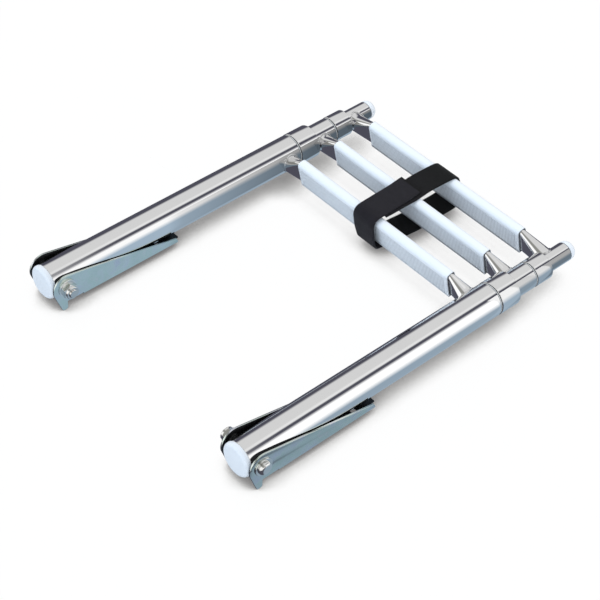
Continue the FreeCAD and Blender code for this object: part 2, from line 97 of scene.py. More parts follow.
@dataclass(frozen=True)
class Term:
    """One shader value; arithmetic on it adds Math nodes."""

    graph: "Graph"
    socket: Any

    def _with(self, operation: str, first: Any, second: Any) -> "Term":
        """The Math node of two values.

        Args:
            operation: the Math node's operation.
            first: a number or a Term.
            second: a number or a Term.

        Returns:
            The result as a Term.
        """
        return self.graph.out("ShaderNodeMath", {"operation": operation}, {0: first, 1: second})

    def __add__(self, other: Any) -> "Term":
        """self + other."""
        return self._with("ADD", self, other)

    __radd__ = __add__

    def __mul__(self, other: Any) -> "Term":
        """self * other."""
        return self._with("MULTIPLY", self, other)

    __rmul__ = __mul__

    def __sub__(self, other: Any) -> "Term":
        """self - other."""
        return self._with("SUBTRACT", self, other)

    def __rsub__(self, other: Any) -> "Term":
        """other - self."""
        return self._with("SUBTRACT", other, self)

    def __truediv__(self, other: Any) -> "Term":
        """self / other."""
        return self._with("DIVIDE", self, other)

    def above(self, limit: Any) -> "Term":
        """1 where self is over the limit, else 0."""
        return self._with("GREATER_THAN", self, limit)

    def sine(self) -> "Term":
        """The sine of self."""
        return self._with("SINE", self, 0.0)

    def turn_from(self, other: "Term") -> "Term":
        """The angle whose tangent is self / other, all the way round."""
        return self._with("ARCTAN2", self, other)

    def size(self) -> "Term":
        """self without its sign."""
        return self._with("ABSOLUTE", self, 0.0)

    def limited(self) -> "Term":
        """self kept between 0 and 1."""
        return self.graph.out("ShaderNodeMath", {"operation": "ADD", "use_clamp": True}, {0: self, 1: 0.0})


class Graph:
    """The node tree of one material or world."""

    def __init__(self, tree: bpy.types.NodeTree) -> None:
        """Empties a tree to build in it."""
        self.tree = tree
        tree.nodes.clear()

    def node(self, kind: str, settings: dict | None = None, inputs: dict | None = None) -> bpy.types.Node:
        """Adds any node.

        Args:
            kind: the node's type.
            settings: its properties, or a ramp's stops, which are set first.
            inputs: values or links of its sockets, by name or number.

        Returns:
            The new node.
        """
        made = self.tree.nodes.new(kind)
        for name, value in (settings or {}).items():
            if name == "stops":
                self._fill_ramp(made.color_ramp, value)
            else:
                setattr(made, name, value)
        for key, value in (inputs or {}).items():
            if isinstance(value, Term):
                self.tree.links.new(value.socket, made.inputs[key])
            elif isinstance(value, tuple) and len(value) == 3 and made.inputs[key].type == "RGBA":
                made.inputs[key].default_value = (*value, 1.0)
            else:
                made.inputs[key].default_value = value
        return made

    @staticmethod
    def _fill_ramp(ramp: bpy.types.ColorRamp, stops: Sequence[Stop]) -> None:
        """Gives a ramp its (position, colour) stops."""
        while len(ramp.elements) < len(stops):
            ramp.elements.new(1.0)
        for element, (position, colour) in zip(ramp.elements, stops):
            element.position = position
            element.color = (*colour, 1.0)

    def out(self, kind: str, settings: dict | None = None, inputs: dict | None = None,
            output: Any = 0) -> Term:
        """Adds a node and returns one of its outputs as a Term."""
        return Term(self, self.node(kind, settings, inputs).outputs[output])

    def show(self, shader: Term, kind: str = "ShaderNodeOutputMaterial") -> None:
        """Ends the tree with a shader."""
        self.node(kind, None, {"Surface": shader})

    def place(self, scale: tuple[float, float, float] = (1.0, 1.0, 1.0)) -> Term:
        """Object coordinates stretched by a scale for each axis."""
        where = self.out("ShaderNodeTexCoord", output="Object")
        return self.out("ShaderNodeMapping", None, {"Vector": where, "Scale": scale})

    def noise(self, where: Term, scale: float, detail: float = 2.0, rough: float = 0.5) -> Term:
        """Noise from 0 to 1."""
        inputs = {"Vector": where, "Scale": scale, "Detail": detail, "Roughness": rough}
        return self.out("ShaderNodeTexNoise", None, inputs)

    def mixed(self, factor: Any, first: Any, second: Any) -> Term:
        """A colour between two colours."""
        return self.out("ShaderNodeMix", {"data_type": "RGBA"}, {"Factor": factor, 6: first, 7: second}, 2)

    def ramp(self, factor: Term, stops: Sequence[Stop]) -> Term:
        """A colour read from stops along 0 to 1."""
        return self.out("ShaderNodeValToRGB", {"stops": stops}, {"Fac": factor})

    def parts(self, vector: Term) -> tuple[Term, Term, Term]:
        """A vector's three numbers."""
        split = self.node("ShaderNodeSeparateXYZ", None, {"Vector": vector})
        return tuple(Term(self, split.outputs[i]) for i in range(3))

    def marks(self) -> Term:
        """A piece's own attribute, three numbers at each vertex."""
        return self.out("ShaderNodeAttribute", {"attribute_name": MARKS}, output="Vector")

    def bump(self, height: Term, distance: float, strength: float) -> Term:
        """A normal from a height of that distance in metres."""
        inputs = {"Height": height, "Distance": distance, "Strength": strength}
        return self.out("ShaderNodeBump", None, inputs)

    def glow(self, colour: Term) -> Term:
        """Light of a colour at strength 1."""
        return self.out("ShaderNodeEmission", None, {"Color": colour, "Strength": 1.0})

    def choice(self, factor: Term, first: Term, second: Term) -> Term:
        """A shader between two shaders."""
        return self.out("ShaderNodeMixShader", None, {0: factor, 1: first, 2: second})


def new_material(name: str) -> tuple[bpy.types.Material, Graph]:
    """A material and its empty graph."""
    made = bpy.data.materials.new(name)
    made.use_nodes = True
    return made, Graph(made.node_tree)


@dataclass(frozen=True)
class Finish(ABC):
    """A surface finish, named as its record slot."""

    slot: str
    colour: Colour
    roughness: float

    def material(self) -> bpy.types.Material:
        """The finish's material, made once."""
        found = bpy.data.materials.get(self.slot + "_finish")
        if found is None:
            found, graph = new_material(self.slot + "_finish")
            graph.show(graph.out("ShaderNodeBsdfPrincipled", None, self.paint(graph)))
        return found

    @abstractmethod
    def paint(self, graph: Graph) -> dict[str, Any]:
        """The Principled sockets of this finish."""

    def toned(self, share: float) -> Colour:
        """The finish's colour times a share."""
        return tuple(min(1.0, channel * share) for channel in self.colour)

    def clouded(self, graph: Graph, clouds: Term) -> Term:
        """The finish's colour, varied a little by slow clouds."""
        return graph.mixed(clouds, self.toned(0.97), self.toned(1.02))


@dataclass(frozen=True)
class PolishedSteel(Finish):
    """Mirror-polished tube with faint polishing lines round it."""

    slot: str = "polished_steel"
    colour: Colour = (0.80, 0.80, 0.80)
    roughness: float = 0.06
    # painted shade: the dark colour that shaded lines are painted towards
    seam_colour: Colour = (0.04, 0.04, 0.05)

    def paint(self, graph: Graph) -> dict[str, Any]:
        """Lines run across the tube, and slow clouds vary the gloss and tone.

        The piece's marks say where shade is painted dark, as a line at a tube's mouth.
        """
        clouds = graph.noise(graph.place(), 24.0, 3.0)
        lines = graph.noise(graph.place((60.0, 2600.0, 60.0)), 1.0, 2.0, 0.6)
        # painted shade: the marks' second number paints the tube darker
        _, seam, _ = graph.parts(graph.marks())
        return {
            "Base Color": graph.mixed(seam, self.clouded(graph, clouds), self.seam_colour),
            "Metallic": 1.0,
            "Roughness": clouds * 0.05 + lines * 0.03 + (self.roughness - 0.03),
            "Normal": graph.bump(lines, 0.000002, 0.5),
        }


@dataclass(frozen=True)
class SheetSteel(Finish):
    """Satin rolled sheet with a grain along it."""

    slot: str = "bracket_sheet"
    colour: Colour = (0.66, 0.72, 0.70)
    roughness: float = 0.17
    tarnish: Sequence[Stop] = (
        (0.3, (0.64, 0.66, 0.72)), (0.45, (0.66, 0.72, 0.70)),
        (0.6, (0.62, 0.72, 0.66)), (0.72, (0.70, 0.72, 0.70)))
    # painted shade: the near black of the channel's inside
    inner_colour: Colour = (0.035, 0.037, 0.04)
    leg_x: float = 0.1575
    inside: float = 0.0202
    floor_underside: float = 0.001

    def paint(self, graph: Graph) -> dict[str, Any]:
        """A fine grain over patches of green and violet tarnish; the channel's inside is left dull, and
        painted shade makes it dark.

        The inside is where the distance from the leg's middle plane is under the ears' inner distance,
        above the floor's underside.
        """
        clouds = graph.noise(graph.place(), 45.0, 4.0, 0.6)
        tint = graph.ramp(graph.noise(graph.place(), 70.0, 3.0, 0.55), self.tarnish)
        grain = graph.noise(graph.place((1500.0, 70.0, 1500.0)), 1.0, 3.0, 0.6)
        x, _, z = graph.parts(graph.place())
        # the channel's inside, which gets painted shade and more roughness
        shaded_inside = (1.0 - ((x.size() - self.leg_x).size()).above(self.inside)) * z.above(self.floor_underside)
        shade = graph.mixed(clouds, (0.82, 0.82, 0.82), (1.08, 1.08, 1.08))
        toned = graph.out("ShaderNodeMix", {"data_type": "RGBA", "blend_type": "MULTIPLY"},
                          {"Factor": 1.0, 6: tint, 7: shade}, 2)
        return {
            # painted shade: the channel's inside is painted near black
            "Base Color": graph.mixed(shaded_inside, toned, self.inner_colour),
            "Metallic": 1.0,
            "Roughness": clouds * 0.12 + grain * 0.08 + shaded_inside * 0.25 + (self.roughness - 0.08),
            "Normal": graph.bump(grain, 0.000006, 0.6),
        }


@dataclass(frozen=True)
class FastenerSteel(Finish):
    """Turned stainless bolts, nuts and washers."""

    slot: str = "fastener_steel"
    colour: Colour = (0.76, 0.76, 0.74)
    roughness: float = 0.16

    def paint(self, graph: Graph) -> dict[str, Any]:
        """Fine tool marks with a speckled gloss."""
        speckle = graph.noise(graph.place(), 900.0, 3.0, 0.6)
        marks = graph.noise(graph.place((2500.0, 300.0, 300.0)), 1.0, 2.0, 0.6)
        return {
            "Base Color": graph.mixed(speckle, self.toned(0.88), self.toned(1.05)),
            "Metallic": 1.0,
            "Roughness": speckle * 0.12 + marks * 0.08 + (self.roughness - 0.06),
            "Normal": graph.bump(marks, 0.000008, 0.6),
        }


@dataclass(frozen=True)
class MouldedPlastic(Finish):
    """Satin moulded plastic with a fine mould grain."""

    slot: str = "white_plastic"
    colour: Colour = (0.86, 0.90, 0.94)
    roughness: float = 0.36
    # painted shade: the dark colour that shaded lines and faces are painted towards
    seam_colour: Colour = (0.03, 0.03, 0.04)

    def paint(self, graph: Graph) -> dict[str, Any]:
        """A mould grain of a tenth of a millimetre, with slow flow clouds.

        The piece's marks give how deep a moulded cut is, with painted shade greying its floor, and where more
        painted shade makes a line or a face darker.
        """
        clouds = graph.noise(graph.place(), 30.0, 2.0)
        grain = graph.noise(graph.place(), 7000.0, 2.0)
        cut, seam, _ = graph.parts(graph.marks())
        # painted shade: the deeper a cut, the greyer its floor is painted
        moulded = graph.mixed(cut, self.clouded(graph, clouds), self.toned(0.5))
        return {
            # painted shade: the marks' second number darkens the colour further
            "Base Color": graph.mixed(seam, moulded, self.seam_colour),
            "Roughness": clouds * 0.08 + grain * 0.1 + (self.roughness - 0.08),
            "IOR": 1.5,
            "Normal": graph.bump(grain, 0.00001, 0.5),
        }


@dataclass(frozen=True)
class Webbing(Finish):
    """Black hook-and-loop webbing; its weave follows the band's own attribute."""

    slot: str = "webbing"
    colour: Colour = (0.008, 0.0078, 0.008)
    roughness: float = 0.85
    # loop colours where the band is painted lightest, as painted light on its near layers
    fur_dark: Colour = (0.005, 0.0045, 0.006)
    fur_light: Colour = (0.020, 0.018, 0.024)
    rib_pitch: float = 0.0011
    selvedge: float = 0.0142

    def paint(self, graph: Graph) -> dict[str, Any]:
        """Crossing ribs under a mat of fine loops, with smoother selvedges.

        The piece's marks give the place along and across the band in metres, and how much lighter the band is
        painted there: painted light on its near climb and top layer, and a lightening towards its start.
        """
        along, across, lighter_share = graph.parts(graph.marks())
        edge = ((across.size() - self.selvedge) * 2000.0).limited()
        wave = TURN / self.rib_pitch
        weave = (along * wave).sine() * (across * wave * 0.8).sine() * 0.5 + 0.5
        loops = graph.noise(graph.place(), 2600.0, 4.0, 0.7)
        clumps = graph.noise(graph.place(), 160.0, 3.0)
        mat = loops * (1.0 - edge) * 0.75 + weave * 0.35
        # painted light: where the band's lighter share is high, both loop colours turn lighter
        dark = graph.mixed(lighter_share, self.toned(0.1), self.fur_dark)
        light = graph.mixed(lighter_share, self.toned(0.35), self.fur_light)
        return {
            "Base Color": graph.mixed(loops * 0.5 + clumps * 0.5, dark, light),
            "Roughness": self.roughness - edge * 0.2 - weave * 0.05,
            "Specular IOR Level": 0.16,
            "Sheen Weight": 0.08,
            "Sheen Roughness": 0.5,
            "Normal": graph.bump(mat, 0.0004, 0.9),
        }


STEEL = PolishedSteel()
SHEET = SheetSteel()
FASTENER = FastenerSteel()
WHITE = MouldedPlastic()
NYLON = MouldedPlastic("guide_plastic", (0.62, 0.63, 0.62), 0.4)
WEBBING = Webbing()


# Surfaces


@dataclass(frozen=True)
class Patch:
    """A grid of points that makes one sheet of quads."""

    points: Array
    loop_rows: bool = False
    loop_cols: bool = True
    marks: Array | None = None

    def quads(self, first: int) -> Array:
        """The grid's quads, with its vertices numbered from first."""
        rows, cols = self.points.shape[:2]
        index = first + np.arange(rows * cols).reshape(rows, cols)
        if self.loop_rows:
            index = np.vstack([index, index[:1]])
        if self.loop_cols:
            index = np.hstack([index, index[:, :1]])
        return np.stack([index[:-1, :-1], index[1:, :-1], index[1:, 1:], index[:-1, 1:]], -1).reshape(-1, 4)


def surface(name: str, patches: Sequence[Patch], sharp: float = 38.0) -> bpy.types.Mesh:
    """Makes a smooth mesh of grids, merged where they meet and facing outwards.

    Args:
        name: the mesh's name.
        patches: grids in millimetres.
        sharp: the angle in degrees above which an edge stays sharp.

    Returns:
        The mesh in metres.
    """
    quads, first = [], 0
    for patch in patches:
        quads.append(patch.quads(first))
        first += patch.points.shape[0] * patch.points.shape[1]
    faces = np.concatenate(quads)
    points = np.concatenate([patch.points.reshape(-1, 3) for patch in patches]) * MM
    mesh = bpy.data.meshes.new(name)
    mesh.vertices.add(len(points))
    mesh.vertices.foreach_set("co", points.ravel())
    mesh.loops.add(faces.size)
    mesh.loops.foreach_set("vertex_index", faces.ravel())
    mesh.polygons.add(len(faces))
    mesh.polygons.foreach_set("loop_start", np.arange(0, faces.size, 4))
    mesh.update(calc_edges=True)
    if any(patch.marks is not None for patch in patches):
        shapes = [np.zeros_like(patch.points) if patch.marks is None else patch.marks for patch in patches]
        values = np.concatenate([np.broadcast_to(marks, patch.points.shape).reshape(-1, 3)
                                 for marks, patch in zip(shapes, patches)])
        attribute = mesh.attributes.new(MARKS, "FLOAT_VECTOR", "POINT")
        attribute.data.foreach_set("vector", values.astype(np.float32).ravel())
    finish_mesh(mesh, sharp)
    return mesh


def finish_mesh(mesh: bpy.types.Mesh, sharp: float) -> None:
    """Merges doubles, turns faces outwards and shades smoothly up to an angle in degrees."""
    work = bmesh.new()
    work.from_mesh(mesh)
    bmesh.ops.remove_doubles(work, verts=work.verts, dist=2e-7)
    bmesh.ops.dissolve_degenerate(work, edges=work.edges, dist=1e-7)
    bmesh.ops.recalc_face_normals(work, faces=work.faces)
    work.to_mesh(mesh)
    work.free()
    mesh.polygons.foreach_set("use_smooth", np.ones(len(mesh.polygons), bool))
    mesh.set_sharp_from_angle(angle=math.radians(sharp))


def linked(name: str, data: Any) -> bpy.types.Object:
    """A new object of some data, put into the scene."""
    made = bpy.data.objects.new(name, data)
    bpy.context.scene.collection.objects.link(made)
    return made


def piece(name: str, mesh: bpy.types.Mesh, group: Group, finish: Finish, *nodes: str) -> bpy.types.Object:
    """Puts a mesh into the scene as a piece of the ladder.

    Args:
        name: the piece's name.
        mesh: its mesh, already in place.
        group: the body that it rides on.
        finish: its finish.
        nodes: the CAD nodes that it stands for.

    Returns:
        The new object.
    """
    made = linked(name, mesh)
    mesh.materials.clear()
    mesh.materials.append(finish.material())
    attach(made, group.value)
    if nodes:
        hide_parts(*nodes)
    LOG.info("%s: %d faces on %s", name, len(mesh.polygons), group.value)
    return made


def unit(vectors: Array) -> Array:
    """Vectors brought to length 1."""
    return vectors / np.maximum(np.linalg.norm(vectors, axis=-1, keepdims=True), 1e-12)


def rounded(corners: Sequence[Point2], radii: Sequence[float], steps: int = 6) -> Array:
    """A profile whose corners become arcs.

    At a corner of half angle h the arc's circle lies radius / sin h along the bisector and touches the
    sides radius / tan h from the corner; its points swing from one touch point to the other.

    Args:
        corners: the profile's corners in order.
        radii: one radius for each corner.
        steps: points on each arc.

    Returns:
        The profile's points, without repeats.
    """
    points = np.asarray(corners, float)
    radius = np.asarray(radii, float)[:, None]
    before = unit(np.roll(points, 1, 0) - points)
    after = unit(np.roll(points, -1, 0) - points)
    half = np.arccos(np.clip((before * after).sum(1, keepdims=True), -1, 1)) / 2
    centre = points + unit(before + after) * radius / np.sin(half)
    reach = radius / np.maximum(np.tan(half), 1e-9)
    start, end = points + before * reach - centre, points + after * reach - centre
    sweep = np.maximum(math.pi - 2 * half, 1e-6)[:, None]
    share = np.linspace(0, 1, steps)[None, :, None]
    swing = np.sin((1 - share) * sweep) * start[:, None] + np.sin(share * sweep) * end[:, None]
    path = (centre[:, None] + swing / np.sin(sweep)).reshape(-1, 2)
    return path[np.linalg.norm(path - np.roll(path, 1, 0), axis=1) > 1e-5]


def around(axis: Axis, centre: Point2, along: Array, radius: Array, turn: Array) -> Array:
    """Points at a station along an axis, and radius times (sine, cosine) of the turn from it."""
    first, second = centre[0] + radius * np.sin(turn), centre[1] + radius * np.cos(turn)
    along = along + 0 * turn
    return np.stack([along, first, second] if axis is Axis.X else [first, along, second], -1)


def seam_marks(dark: Array) -> Array:
    """Marks whose second number says how dark the painted shade is."""
    return np.stack([0 * dark, dark, 0 * dark], -1)


def circle(segments: int) -> Array:
    """Evenly spaced angles once round."""
    return np.linspace(0, TURN, segments, endpoint=False)


def lathe(profile: Array, axis: Axis, centre: Point2, closed: bool = True,
          seam: Array | None = None) -> Patch:
    """A profile of (radius, station) turned about an axis.

    Args:
        profile: the points, radius first.
        axis: the direction of the axis.
        centre: the axis's place in the other two directions.
        closed: whether the profile's last point joins its first.
        seam: how dark the painted shade is at each point, if there is any.

    Returns:
        The turned grid.
    """
    turn = circle(96)
    marks = None if seam is None else seam_marks(seam[:, None] + 0 * turn)
    points = around(axis, centre, profile[:, 1:2], profile[:, :1], turn)
    return Patch(points, loop_rows=closed, marks=marks)


@dataclass(frozen=True)
class Seat:
    """Where a round CAD node sits: its axis, radius and ends in millimetres."""

    axis: Axis
    centre: Point2
    radius: float
    start: float
    end: float

    @classmethod
    def of(cls, node: str, axis: Axis = Axis.Y) -> "Seat":
        """Reads a node's seat from its box."""
        low, high = (np.array(corner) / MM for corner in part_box(node))
        across = [i for i in range(3) if i != axis.value]
        middle = (low + high) / 2
        radius = (high[across[0]] - low[across[0]]) / 2
        return cls(axis, (middle[across[0]], middle[across[1]]), radius, low[axis.value], high[axis.value])

    def turned(self, name: str, profile: Array, closed: bool = True,
               seam: Array | None = None) -> bpy.types.Mesh:
        """A mesh turned about this seat's axis."""
        return surface(name, [lathe(profile, self.axis, self.centre, closed, seam=seam)])

    def sleeve(self, name: str, bore: float, rim: float = 0.3) -> bpy.types.Mesh:
        """A tube over the seat's length, with rounded rims."""
        corners = [(bore, self.start), (self.radius, self.start), (self.radius, self.end), (bore, self.end)]
        return self.turned(name, rounded(corners, [0.2, rim, rim, 0.2]))


# Sub-assemblies


@dataclass
class SidePart:
    """A sub-assembly that each side has one of."""

    side: Side

    def name(self, part: str) -> str:
        """A node's name on this side."""
        return f"{part}_{self.side.word}"

    def seat(self, part: str, axis: Axis = Axis.Y) -> Seat:
        """Where a round node of this side sits."""
        return Seat.of(self.name(part), axis)

    def dress(self, part: str, mesh: bpy.types.Mesh, group: Group, finish: Finish) -> None:
        """Adds one piece in place of its node."""
        piece(self.name(part) + "_piece", mesh, group, finish, self.name(part))


@dataclass
class Leg(SidePart):
    """One leg: three nested tubes with their caps, rings, collars and plug."""

    outer_wall: float = 1.2
    middle_wall: float = 1.2
    inner_wall: float = 1.5
    clearance: float = 0.08
    seat_gap: float = 0.05
    cap_edge: float = 4.0
    # share of painted shade that darkens the whole cap a little
    cap_shade: float = 0.12
    lip_length: float = 1.5
    # length of the painted shade line at each tube's mouth
    mouth: float = 0.55
    groove_width: float = 0.35
    groove_depth: float = 0.7
    collar_rim: float = 0.6
    guide_rim: float = 0.4
    plug_round: float = 0.72
    bolt_radius: float = 5.0

    def build(self) -> None:
        """Makes every piece of the leg."""
        for part, wall, group in (
            ("outer_tube", self.outer_wall, Group.UPPER),
            ("middle_tube", self.middle_wall, Group.MIDDLE),
            ("inner_tube", self.inner_wall, Group.LOWER),
        ):
            self.build_tube(part, wall, group)
        self.build_cap()
        self.build_bushing("outer", "middle", self.outer_wall, Group.UPPER)
        self.build_bushing("middle", "inner", self.middle_wall, Group.MIDDLE)
        for tube, group in (("middle", Group.MIDDLE), ("inner", Group.LOWER)):
            self.build_ring(tube, "collar", self.collar_rim, group, STEEL)
        for tube, group in (("middle", Group.MIDDLE), ("inner", Group.LOWER)):
            self.build_ring(tube, "guide", self.guide_rim, group, NYLON)
        self.build_plug()
        bush = self.seat("pivot_bush", Axis.X)
        mesh = bush.sleeve(self.name("pivot_bush"), self.bolt_radius + self.clearance)
        self.dress("pivot_bush", mesh, Group.UPPER, FASTENER)

    def build_tube(self, part: str, wall: float, group: Group) -> None:
        """A polished tube with a dark line of painted shade at its mouth."""
        seat = self.seat(part)
        bore, mouth = seat.radius - wall, seat.end - self.mouth
        corners = [(bore, seat.start), (seat.radius, seat.start), (seat.radius, mouth - 0.05),
                   (seat.radius, mouth), (seat.radius, seat.end), (bore, seat.end)]
        profile = rounded(corners, [0.2, 0.35, 0, 0, 0.3, 0.2])
        # painted shade: the last part of the tube before its end is painted as a dark line
        dark = (profile[:, 1] > mouth - 0.02).astype(float)
        self.dress(part, seat.turned(self.name(part), profile, seam=dark), group, STEEL)

    def build_cap(self) -> None:
        """The cap in the bracket end: a soft-edged disc on a stem."""
        seat, tube = self.seat("top_cap"), self.seat("outer_tube")
        stem = tube.radius - self.outer_wall - self.seat_gap
        seam = tube.start - self.seat_gap
        corners = [(0, seat.start), (seat.radius, seat.start), (seat.radius, seam), (stem, seam),
                   (stem, seat.end), (0, seat.end)]
        profile = rounded(corners, [0, self.cap_edge, 0.3, 0, 0.4, 0], 12)
        # painted shade: the whole cap is painted a little darker
        shade = np.full(len(profile), self.cap_shade)
        self.dress("top_cap", seat.turned(self.name("top_cap"), profile, False, shade), Group.UPPER, WHITE)

    def build_bushing(self, tube: str, rod: str, wall: float, group: Group) -> None:
        """The ring in a tube's end; its pale lip shows outside it and ends in a groove darkened with painted
        shade.
        """
        part = tube + "_bushing"
        seat, holder = self.seat(part), self.seat(tube + "_tube")
        bore = self.seat(rod + "_tube").radius + self.clearance
        snug = holder.radius - wall - self.seat_gap
        lip, base = seat.end - self.lip_length + self.seat_gap, seat.radius - self.groove_depth
        last = seat.end - self.groove_width
        corners = [(bore, seat.start), (snug, seat.start), (snug, lip), (seat.radius, lip),
                   (seat.radius, last), (base, last), (base, seat.end), (bore, seat.end)]
        profile = rounded(corners, [0.2, 0.2, 0, 0.1, 0.1, 0.05, 0.1, 0.2], 4)
        # painted shade: the groove's floor and the ring's end inside it are painted dark
        dark = ((profile[:, 0] < seat.radius - 0.25) & (profile[:, 1] > last - 0.02)).astype(float)
        self.dress(part, seat.turned(self.name(part), profile, seam=dark), group, NYLON)

    def build_ring(self, tube: str, part: str, rim: float, group: Group, finish: Finish) -> None:
        """A ring round a sliding tube: the polished stop collar or the hidden guide."""
        name = f"{tube}_{part}"
        seat, rod = self.seat(name), self.seat(tube + "_tube")
        self.dress(name, seat.sleeve(self.name(name), rod.radius + self.seat_gap, rim), group, finish)

    def build_plug(self) -> None:
        """The rounded end plug, with its stem inside the tube."""
        seat, tube = self.seat("end_plug"), self.seat("inner_tube")
        stem = tube.radius - self.inner_wall - self.seat_gap
        seam = tube.end + self.seat_gap
        corners = [(0, seat.start), (stem, seat.start), (stem, seam), (seat.radius, seam),
                   (seat.radius, seat.end), (0, seat.end)]
        profile = rounded(corners, [0, 0.5, 0, 0.3, seat.radius * self.plug_round, 0], 14)
        self.dress("end_plug", seat.turned(self.name("end_plug"), profile, False), Group.LOWER, WHITE)


@dataclass
class Step:
    """One step: a tube pinched flat under its tread and welded between the legs."""

    number: int
    group: Group
    leg_tube: str
    lean: float = 13.0
    tube_radius: float = 10.5
    blade_half_height: float = 16.4
    blade_half_thickness: float = 4.35
    blade_rise: float = 2.8
    blade_end: float = 119.0
    weld_radius: float = 1.0
    weld_ripple: float = 0.12
    weld_beads: int = 34
    tread_half_length: float = 118.0
    tread_half_thickness: float = 6.25
    tread_half_height: float = 17.7
    tread_rounds: tuple[float, ...] = (4.5, 5.5, 4.5, 1.5)
    tread_end_round: float = 0.9
    slot_gap: float = 0.3
    rib_pitch: float = 2.3
    rib_cut: float = 0.8
    rib_depth: float = 0.5
    rib_rows: int = 12
    rib_walls: tuple[float, ...] = (-0.15, 0.2, 0.8, 1.15)
    rib_deep: tuple[float, ...] = (0.0, 1.0, 1.0, 0.0)
    first_rib: float = 2.5
    cross_share: float = 0.85
    plain_end: float = 4.0
    foot_height: float = 3.6
    foot_depth: float = 1.7
    # how dark the painted shade line along the bottom of the standing face is
    seam: float = 0.6
    end_turns: tuple[float, ...] = (30.0, 60.0, 90.0)
    # painted shade on the end faces, darker towards the slot
    end_shades: tuple[float, ...] = (0.0, 0.3, 0.65, 0.65)
    saddle_sink: float = 0.3
    leg_x: float = field(init=False)
    leg_radius: float = field(init=False)
    height: float = field(init=False)
    station: float = field(init=False)

    def __post_init__(self) -> None:
        """Reads the legs' and the step's places from the frame."""
        leg = Seat.of(self.leg_tube + "_right")
        self.leg_x, self.height, self.leg_radius = leg.centre[0], leg.centre[1], leg.radius
        low, high = (np.array(corner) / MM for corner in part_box(f"step_{self.number}_bar"))
        self.station = float(low[1] + high[1]) / 2

    def name(self, part: str) -> str:
        """A piece's name on this step."""
        return f"step_{self.number}_{part}"

    def leaned(self, thick: Array, high: Array, across: Array) -> Array:
        """Row-frame points of (thickness, height) pairs leaned about the step's axis.

        Y is station + thick cos L - high sin L, and Z is axis height + thick sin L + high cos L.
        """
        lean = math.radians(self.lean)
        y = self.station + thick * math.cos(lean) - high * math.sin(lean)
        z = self.height + thick * math.sin(lean) + high * math.cos(lean)
        return np.stack(np.broadcast_arrays(across, y, z), -1)

    def section(self, flat: float, radius: float, rise: float) -> tuple[Array, Array]:
        """A round section drawn out by a flat: two half circles joined by two straight sides."""
        top = np.linspace(0, math.pi, 26)
        run = np.linspace(1, -1, 6)[1:-1]
        thick = np.concatenate([radius * np.cos(top), np.full(run.size, -radius)])
        high = np.concatenate([radius * np.sin(top) + flat, run * flat])
        return np.concatenate([thick, -thick]), np.concatenate([high, -high]) + rise

    def build(self) -> None:
        """Makes the bar, its welds and the tread."""
        self.build_bar()
        for side in Side:
            self.build_weld(side)
        self.build_tread()

    def saddle(self, high: Array) -> Array:
        """How far from the middle the leg's surface lies at a height from its axis."""
        return self.leg_x - np.sqrt(self.leg_radius**2 - high**2)

    def build_bar(self) -> None:
        """Rings from saddle to saddle: round at the legs, drawn flat between them.

        Each half is ruled from the flat section to the round one, so its sides are true triangles.
        """
        flat = self.blade_half_height - self.blade_half_thickness
        root = self.leg_x - self.leg_radius
        rows = []
        for sign in (-1, 1):
            thick, high = self.section(0.0, self.tube_radius, 0.0)
            round_ring = self.leaned(thick, high, np.array(sign * root))
            saddle = round_ring.copy()
            saddle[:, 0] = sign * (self.saddle(round_ring[:, 2] - self.height) + self.saddle_sink)
            middle = np.array([sign * (root + self.saddle_sink), self.station, self.height])
            pole = np.broadcast_to(middle, saddle.shape)
            thick, high = self.section(flat, self.blade_half_thickness, self.blade_rise)
            blade = self.leaned(thick, high, np.array(sign * self.blade_end))
            share = np.linspace(0, 1, 13)[:, None, None]
            pinch = blade * (1 - share) + round_ring * share
            half = np.concatenate([pinch, saddle[None], pole[None]])
            rows.append(half if sign > 0 else half[::-1])
        mesh = surface(self.name("bar"), [Patch(np.concatenate(rows))], 30.0)
        piece(self.name("bar_piece"), mesh, self.group, STEEL, self.name("bar"))

    def build_weld(self, side: Side) -> None:
        """A thin bead along the line where the bar meets the leg.

        A small circle is carried along that line, set out from the bar's axis and along it.
        """
        turn = circle(120)
        out = np.stack([0 * turn, np.cos(turn), np.sin(turn)], -1)
        line = out * self.tube_radius + np.array([0, self.station, self.height])
        line[:, 0] = side.value * self.saddle(line[:, 2] - self.height)
        run = unit(np.roll(line, -1, 0) - np.roll(line, 1, 0))
        third = np.cross(run, out)
        ring = circle(12)[None, :, None]
        ripple = 1 + self.weld_ripple * np.sin(turn * self.weld_beads)[:, None, None]
        small = np.cos(ring) * out[:, None] + np.sin(ring) * third[:, None]
        bead = line[:, None] + self.weld_radius * ripple * small
        mesh = surface(self.name("weld"), [Patch(bead, loop_rows=True)], 60.0)
        piece(f"{self.name('weld')}_{side.word}", mesh, self.group, STEEL)

    def cuts(self, first: float, count: int) -> tuple[Array, Array]:
        """The stations of the cuts' walls from the first cut on, and how deep each is."""
        pitch = first + self.rib_pitch * np.arange(count)[:, None]
        return (pitch + self.rib_cut * np.array(self.rib_walls)).ravel(), np.tile(self.rib_deep, count)

    def tread_profile(self) -> tuple[Array, Array]:
        """The tread's outline as (thickness, height), and how deep the lengthwise cuts are on it."""
        half, tall, rise = self.tread_half_thickness, self.tread_half_height, self.blade_rise
        low, top = rise - tall, rise + tall
        outline = rounded([(-half, top), (half, top), (half, low), (-half, low)], self.tread_rounds, 9)
        heights, depth = self.cuts(low + self.first_rib, self.rib_rows)
        face = np.stack([np.full(heights.size, -half), heights], -1)
        last_round = self.tread_rounds[-1]
        start = int(np.argmin(np.abs(outline[:, 0] + half) * 10 + np.abs(outline[:, 1] - low - last_round)))
        order = np.roll(outline, -start - 1, 0)
        return np.concatenate([face, order]), np.concatenate([depth, np.zeros(len(order))])

